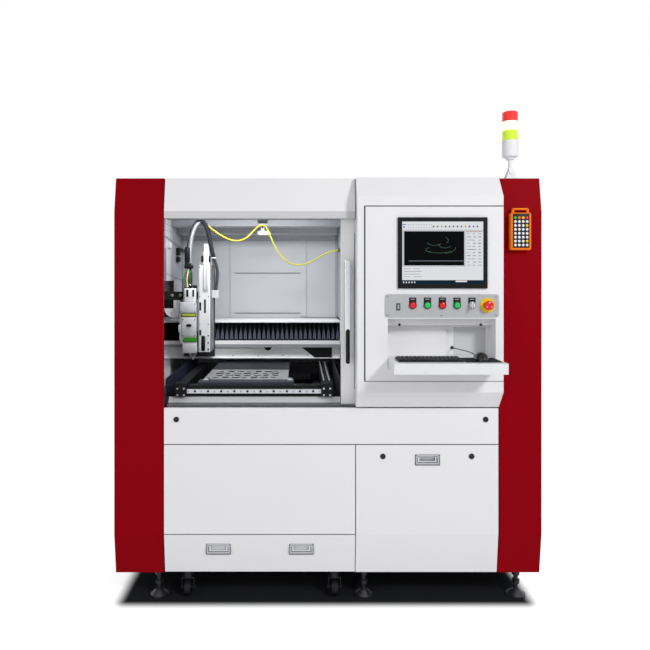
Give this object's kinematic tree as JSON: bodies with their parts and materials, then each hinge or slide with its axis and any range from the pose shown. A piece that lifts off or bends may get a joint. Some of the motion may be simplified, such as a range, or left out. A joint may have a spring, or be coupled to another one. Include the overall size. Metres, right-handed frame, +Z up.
{
  "type": "laser cutting machine",
  "caption": "Enclosed fiber laser cutter with red corner covers, sliding window door, operator console with fold-up keyboard tray, moving table, scrap drawer and folding signal tower.",
  "frame": {"origin": "middle of the whole machine's footprint, on the floor", "axes": "+X to the operator's right, +Y to the back of the machine, +Z up"},
  "size_m": [1.88, 1.787, 2.192],
  "materials": {
    "frame_paint": "satin",
    "red_paint": "satin",
    "white_paint": "satin",
    "rail_steel": "brushed",
    "chrome": "polished",
    "handle_alu": "satin",
    "zinc": "zinc plated",
    "caster_nylon": "satin",
    "window": "clear",
    "bellows_fabric": "matte",
    "cover_navy": "satin",
    "dark_anodised": "anodised",
    "sheet_steel": "bare",
    "hose_black": "corrugated",
    "fibre_yellow": "gloss",
    "black_plastic": "satin",
    "white_plastic": "gloss",
    "button_red": "gloss",
    "button_green": "gloss",
    "pendant_orange": "satin",
    "lens": "translucent"
  },
  "bodies": {
    "machine": {"base_frame": "frame_paint", "levelling_feet": "zinc", "pillar_covers": "red_paint", "side_panels": "white_paint", "rear_panel": "white_paint", "roof_cover": "white_paint", "lower_left_panel": "white_paint", "console_housing": "white_paint", "door_rails": "rail_steel", "chamber_liner": "white_paint", "machine_bed": "frame_paint", "slide_covers": "cover_navy", "gantry_beam": "white_paint", "bellows_left": "bellows_fabric", "bellows_right": "bellows_fabric", "fibre_cable": "fibre_yellow", "cable_bracket": "white_paint", "laser_source": "white_paint", "control_cabinet": "white_paint", "pendant": "pendant_orange", "signal_tower_base": "black_plastic"},
    "sliding_door": {"door_frame": "white_paint", "door_window": "window", "door_handle": "handle_alu"},
    "sill_flap": {"sill_flap": "white_paint"},
    "sill_lock_left": {"sill_lock_left": "chrome"},
    "sill_lock_right": {"sill_lock_right": "chrome"},
    "service_flap": {"service_flap": "white_paint"},
    "flap_lock_left": {"flap_lock_left": "chrome"},
    "flap_lock_right": {"flap_lock_right": "chrome"},
    "flap_bail": {"flap_bail": "chrome"},
    "scrap_drawer": {"scrap_drawer": "white_paint"},
    "drawer_bail_left": {"drawer_bail_left": "chrome"},
    "drawer_bail_right": {"drawer_bail_right": "chrome"},
    "console_door": {"console_door": "white_paint", "monitor": "black_plastic", "button_plate": "rail_steel"},
    "button_red_left": {"button_red_left": "button_red"},
    "button_green_left": {"button_green_left": "button_green"},
    "button_red_right": {"button_red_right": "button_red"},
    "button_green_right": {"button_green_right": "button_green"},
    "key_switch": {"key_switch": "chrome"},
    "estop_button": {"estop_button": "button_red"},
    "keyboard_tray": {"keyboard_tray": "white_paint", "keyboard": "black_plastic", "mouse": "black_plastic", "mouse_mat": "black_plastic", "mouse_cord": "black_plastic"},
    "x_carriage": {"x_carriage": "white_paint"},
    "z_head": {"cutting_head": "white_paint", "head_hose": "hose_black"},
    "table": {"table_frame": "dark_anodised", "work_sheet": "sheet_steel", "sheet_clamps": "chrome"},
    "wheel_front_left": {"caster_wheel_front_left": "caster_nylon"},
    "wheel_front_right": {"caster_wheel_front_right": "caster_nylon"},
    "wheel_rear_left": {"caster_wheel_rear_left": "caster_nylon"},
    "wheel_rear_right": {"caster_wheel_rear_right": "caster_nylon"},
    "signal_tower": {"signal_column": "white_plastic", "signal_lenses": "lens"}
  },
  "joints": [
    {"name": "door_slide", "type": "slide", "parent": "machine", "child": "sliding_door", "axis": [1, 0, 0], "range_m": [-0.785, 0]},
    {"name": "sill_flap_hinge", "type": "hinge", "parent": "machine", "child": "sill_flap", "pos_m": [0, -0.6605, 0.718], "axis": [1, 0, 0], "range_deg": [0, 90]},
    {"name": "sill_lock_left_turn", "type": "hinge", "parent": "sill_flap", "child": "sill_lock_left", "pos_m": [-0.667, -0.6565, 0.82], "axis": [0, 1, 0], "range_deg": [0, 90]},
    {"name": "sill_lock_right_turn", "type": "hinge", "parent": "sill_flap", "child": "sill_lock_right", "pos_m": [0.694, -0.6565, 0.82], "axis": [0, -1, 0], "range_deg": [0, 90]},
    {"name": "service_flap_hinge", "type": "hinge", "parent": "machine", "child": "service_flap", "pos_m": [0.438, -0.63476, 0.144], "axis": [1, 0, 0], "range_deg": [0, 75]},
    {"name": "flap_lock_left_turn", "type": "hinge", "parent": "service_flap", "child": "flap_lock_left", "pos_m": [0.242, -0.6565, 0.658], "axis": [0, -1, 0], "range_deg": [0, 90]},
    {"name": "flap_lock_right_turn", "type": "hinge", "parent": "service_flap", "child": "flap_lock_right", "pos_m": [0.632, -0.6565, 0.658], "axis": [0, 1, 0], "range_deg": [0, 90]},
    {"name": "flap_bail_lift", "type": "hinge", "parent": "service_flap", "child": "flap_bail", "pos_m": [0.438, -0.6625, 0.653], "axis": [-1, 0, 0], "range_deg": [0, 90]},
    {"name": "drawer_slide", "type": "slide", "parent": "machine", "child": "scrap_drawer", "axis": [0, -1, 0], "range_m": [0, 0.62]},
    {"name": "drawer_bail_left_lift", "type": "hinge", "parent": "scrap_drawer", "child": "drawer_bail_left", "pos_m": [-0.483, -0.65328, 0.257], "axis": [-1, 0, 0], "range_deg": [0, 90]},
    {"name": "drawer_bail_right_lift", "type": "hinge", "parent": "scrap_drawer", "child": "drawer_bail_right", "pos_m": [-0.117, -0.65328, 0.257], "axis": [-1, 0, 0], "range_deg": [0, 90]},
    {"name": "console_door_hinge", "type": "hinge", "parent": "machine", "child": "console_door", "pos_m": [0.746, -0.7185, 1.375], "axis": [0, 0, 1], "range_deg": [0, 100]},
    {"name": "button_red_left_press", "type": "slide", "parent": "console_door", "child": "button_red_left", "axis": [0, 1, 0], "range_m": [0, 0.003], "stiffness_N_per_m": 600},
    {"name": "button_green_left_press", "type": "slide", "parent": "console_door", "child": "button_green_left", "axis": [0, 1, 0], "range_m": [0, 0.003], "stiffness_N_per_m": 600},
    {"name": "button_red_right_press", "type": "slide", "parent": "console_door", "child": "button_red_right", "axis": [0, 1, 0], "range_m": [0, 0.003], "stiffness_N_per_m": 600},
    {"name": "button_green_right_press", "type": "slide", "parent": "console_door", "child": "button_green_right", "axis": [0, 1, 0], "range_m": [0, 0.003], "stiffness_N_per_m": 600},
    {"name": "key_turn", "type": "hinge", "parent": "console_door", "child": "key_switch", "pos_m": [0.615, -0.7265, 1.326], "axis": [0, 1, 0], "range_deg": [0, 90]},
    {"name": "estop_press", "type": "slide", "parent": "console_door", "child": "estop_button", "axis": [0, 1, 0], "range_m": [0, 0.006]},
    {"name": "tray_fold", "type": "hinge", "parent": "console_door", "child": "keyboard_tray", "pos_m": [0.487, -0.7065, 1.077], "axis": [-1, 0, 0], "range_deg": [0, 90], "deforming": ["mouse_cord"]},
    {"name": "head_x_slide", "type": "slide", "parent": "machine", "child": "x_carriage", "axis": [1, 0, 0], "range_m": [0, 0.64], "deforming": ["bellows_left", "bellows_right", "fibre_cable"]},
    {"name": "head_z_slide", "type": "slide", "parent": "x_carriage", "child": "z_head", "axis": [0, 0, 1], "range_m": [-0.024, 0.082], "deforming": ["head_hose"]},
    {"name": "table_y_slide", "type": "slide", "parent": "machine", "child": "table", "axis": [0, 1, 0], "range_m": [0, 0.6]},
    {"name": "caster_front_left_spin", "type": "hinge", "parent": "machine", "child": "wheel_front_left", "pos_m": [-0.629, -0.5785, 0.04], "axis": [1, 0, 0], "continuous": true},
    {"name": "caster_front_right_spin", "type": "hinge", "parent": "machine", "child": "wheel_front_right", "pos_m": [0.034, -0.5785, 0.04], "axis": [1, 0, 0], "continuous": true},
    {"name": "caster_rear_left_spin", "type": "hinge", "parent": "machine", "child": "wheel_rear_left", "pos_m": [-0.629, 0.6335, 0.04], "axis": [1, 0, 0], "continuous": true},
    {"name": "caster_rear_right_spin", "type": "hinge", "parent": "machine", "child": "wheel_rear_right", "pos_m": [0.034, 0.6335, 0.04], "axis": [1, 0, 0], "continuous": true},
    {"name": "signal_tower_fold", "type": "hinge", "parent": "machine", "child": "signal_tower", "pos_m": [0.826, -0.5965, 1.917], "axis": [0, 1, 0], "range_deg": [-85, 0]}
  ]
}
